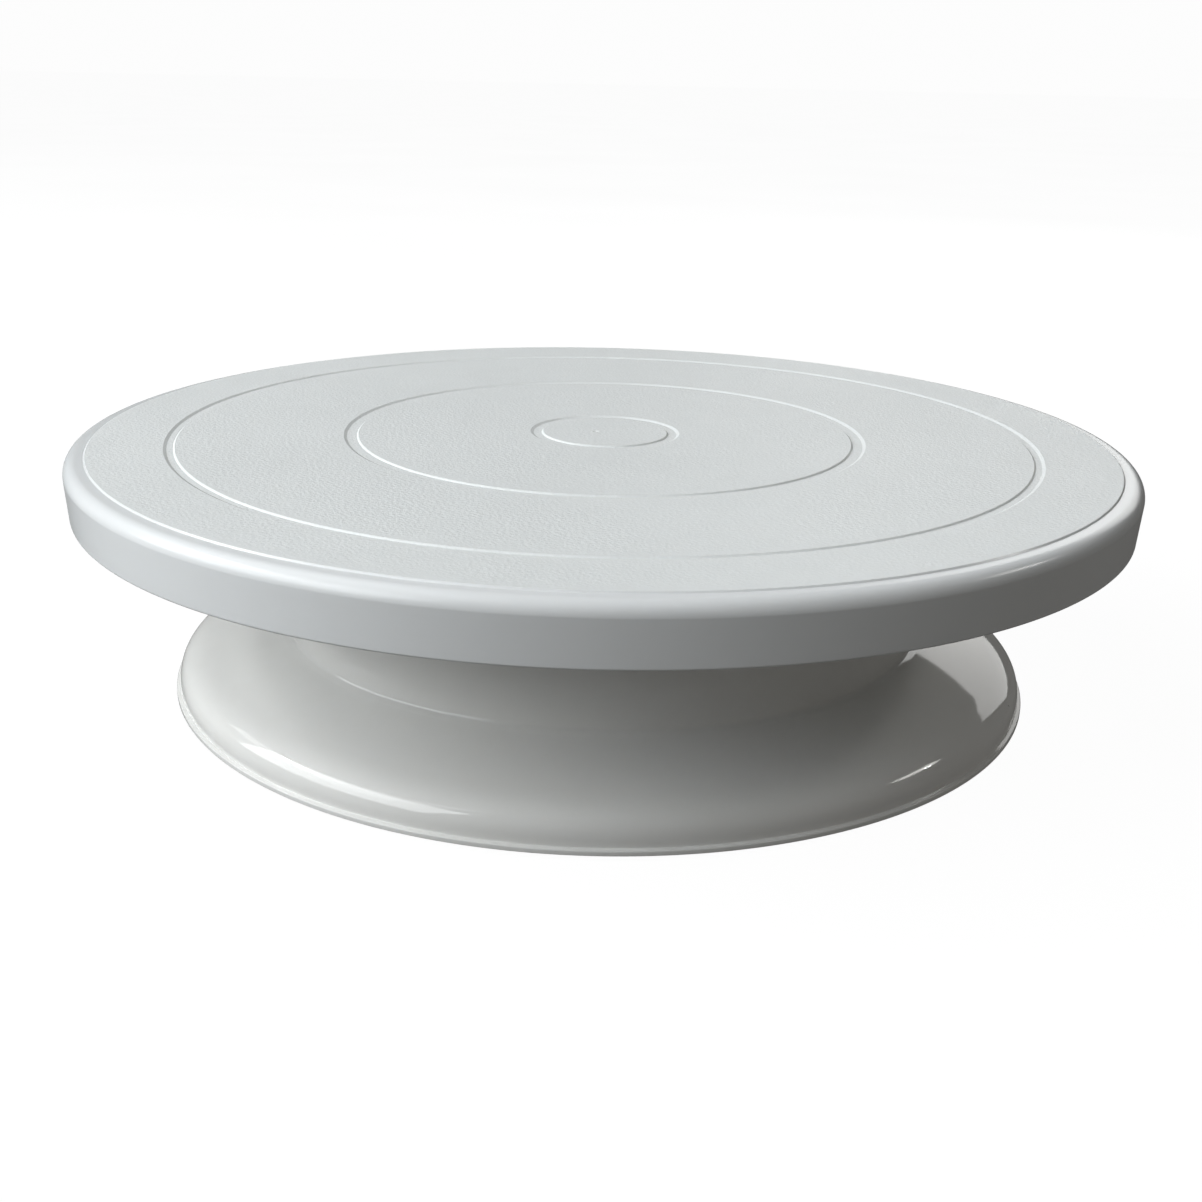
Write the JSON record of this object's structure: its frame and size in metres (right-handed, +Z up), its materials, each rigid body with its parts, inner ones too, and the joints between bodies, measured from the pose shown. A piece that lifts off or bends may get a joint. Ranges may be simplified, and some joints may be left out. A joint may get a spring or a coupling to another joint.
{
  "type": "lazy susan turntable",
  "caption": "Round plate with ring grooves on a flared hollow pedestal, turning on a concealed ball bearing.",
  "frame": {"origin": "on the spin axis at the level of the surface that the foot pads stand on", "axes": "+Z up along the spin axis; +X to the right and +Y to the back as the front view shows it; the plate and base are round, so only the screws, ribs, pads and the gate mark have a direction"},
  "size_m": [0.28, 0.28, 0.0667],
  "materials": {
    "plate_plastic": "white moulded plastic, fine spark-eroded texture on the disc, satin gloss on the rim",
    "base_plastic": "glossy warm white moulded plastic",
    "cap_plastic": "white moulded plastic, light satin",
    "bush_plastic": "natural acetal, smooth turned look",
    "cage_plastic": "natural nylon, smooth",
    "race_steel": "turned steel with fine concentric lay and a polished track",
    "ball_steel": "polished bearing steel with a film of grease",
    "screw_steel": "zinc-plated steel",
    "bolt_steel": "ground steel shoulder, dark-oiled head",
    "spring_steel": "phosphated spring steel",
    "washer_steel": "zinc-plated pressed steel",
    "insert_brass": "turned brass",
    "pad_rubber": "grey rubber, matt, slightly dusty"
  },
  "bodies": {
    "base": {"base_shell": "base_plastic", "dust_cap": "cap_plastic", "lower_race": "race_steel", "lower_race_screws": "screw_steel", "upper_bush": "bush_plastic", "lower_bush": "bush_plastic", "foot_pad_1": "pad_rubber", "foot_pad_2": "pad_rubber", "foot_pad_3": "pad_rubber", "foot_pad_4": "pad_rubber", "foot_pad_5": "pad_rubber", "foot_pad_6": "pad_rubber"},
    "plate": {"turntable_plate": "plate_plastic", "hub_insert": "insert_brass", "upper_race": "race_steel", "upper_race_screws": "screw_steel", "centre_bolt": "bolt_steel", "spring_washer": "spring_steel", "retaining_washer": "washer_steel"},
    "cage": {"ball_cage": "cage_plastic", "bearing_balls": "ball_steel"}
  },
  "joints": [
    {"name": "plate_spin", "type": "hinge", "parent": "base", "child": "plate", "pos_m": [0, 0, 0.057], "axis": [0, 0, 1], "continuous": true},
    {"name": "cage_spin", "type": "hinge", "parent": "base", "child": "cage", "pos_m": [0, 0, 0.057], "axis": [0, 0, 1], "continuous": true}
  ],
  "couplings": [
    {"joint": "cage_spin", "follows": "plate_spin", "ratio": 0.5}
  ]
}
